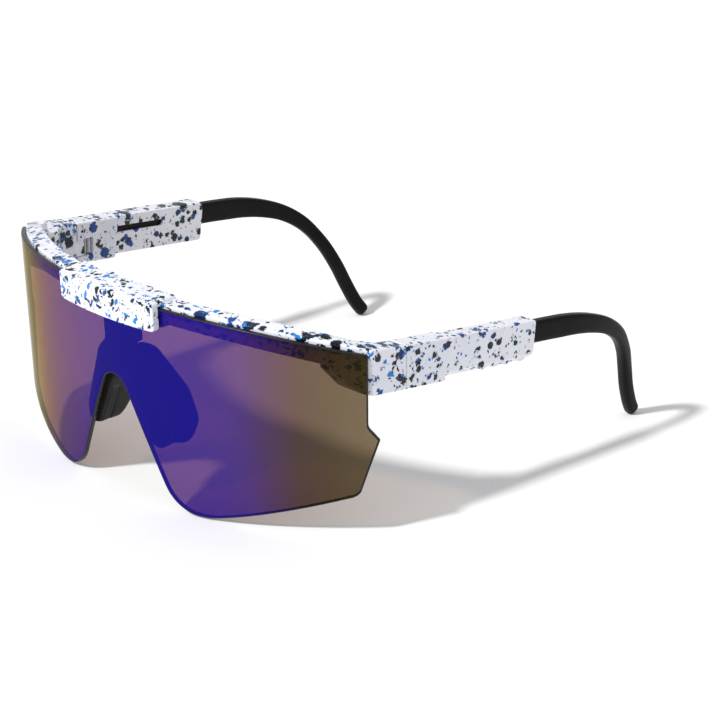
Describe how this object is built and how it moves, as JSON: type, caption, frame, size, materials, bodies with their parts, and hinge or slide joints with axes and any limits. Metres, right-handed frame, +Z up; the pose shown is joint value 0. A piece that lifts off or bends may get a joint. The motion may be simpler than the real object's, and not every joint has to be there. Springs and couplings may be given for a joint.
{
  "type": "wraparound sport sunglasses",
  "caption": "Wraparound shield sunglasses: mirrored one-piece lens under a white brow frame, folding hollow temples with sliding rubber ear arms.",
  "frame": {"origin": "on the surface that the glasses stand on, under the middle of their box", "axes": "+Z up, -Y towards the front of the lens, +X towards the wearer's left; the plane X = 0 is the mirror plane"},
  "size_m": [0.143, 0.149, 0.0606],
  "materials": {
    "splatter_frame": "glossy white with blue and black paint splatter",
    "splatter_temple": "glossy white with blue and black paint splatter",
    "mirror_lens": "blue-violet mirror coating on smoke polycarbonate, bronze towards the sides",
    "nose_rubber": "matte black",
    "arm_rubber": "matte black",
    "slider_plastic": "matte black",
    "pin_steel": "plain",
    "core_metal": "plain"
  },
  "bodies": {
    "frame": {"brow_frame": "splatter_frame", "shield_lens": "mirror_lens", "nose_bridge": "nose_rubber", "nose_core": "core_metal", "nose_pad_left": "nose_rubber", "nose_pad_right": "nose_rubber"},
    "temple_left": {"temple_shell_left": "splatter_temple", "temple_cover_left": "splatter_temple", "hinge_pin_left": "pin_steel"},
    "arm_left": {"arm_slider_left": "slider_plastic", "slide_stud_left": "slider_plastic", "arm_core_left": "core_metal", "ear_sock_left": "arm_rubber"},
    "temple_right": {"temple_shell_right": "splatter_temple", "temple_cover_right": "splatter_temple", "hinge_pin_right": "pin_steel"},
    "arm_right": {"arm_slider_right": "slider_plastic", "slide_stud_right": "slider_plastic", "arm_core_right": "core_metal", "ear_sock_right": "arm_rubber"}
  },
  "joints": [
    {"name": "fold_left", "type": "hinge", "parent": "frame", "child": "temple_left", "pos_m": [0.0652, -0.0261, 0.0435], "axis": [0, 0, 1], "range_deg": [0, 92]},
    {"name": "fold_right", "type": "hinge", "parent": "frame", "child": "temple_right", "pos_m": [-0.0652, -0.0261, 0.0435], "axis": [0, 0, -1], "range_deg": [0, 84]},
    {"name": "extend_left", "type": "slide", "parent": "temple_left", "child": "arm_left", "axis": [0, 0.9942, -0.108], "range_m": [0, 0.014]},
    {"name": "extend_right", "type": "slide", "parent": "temple_right", "child": "arm_right", "axis": [0, 0.9942, -0.108], "range_m": [0, 0.014]}
  ]
}
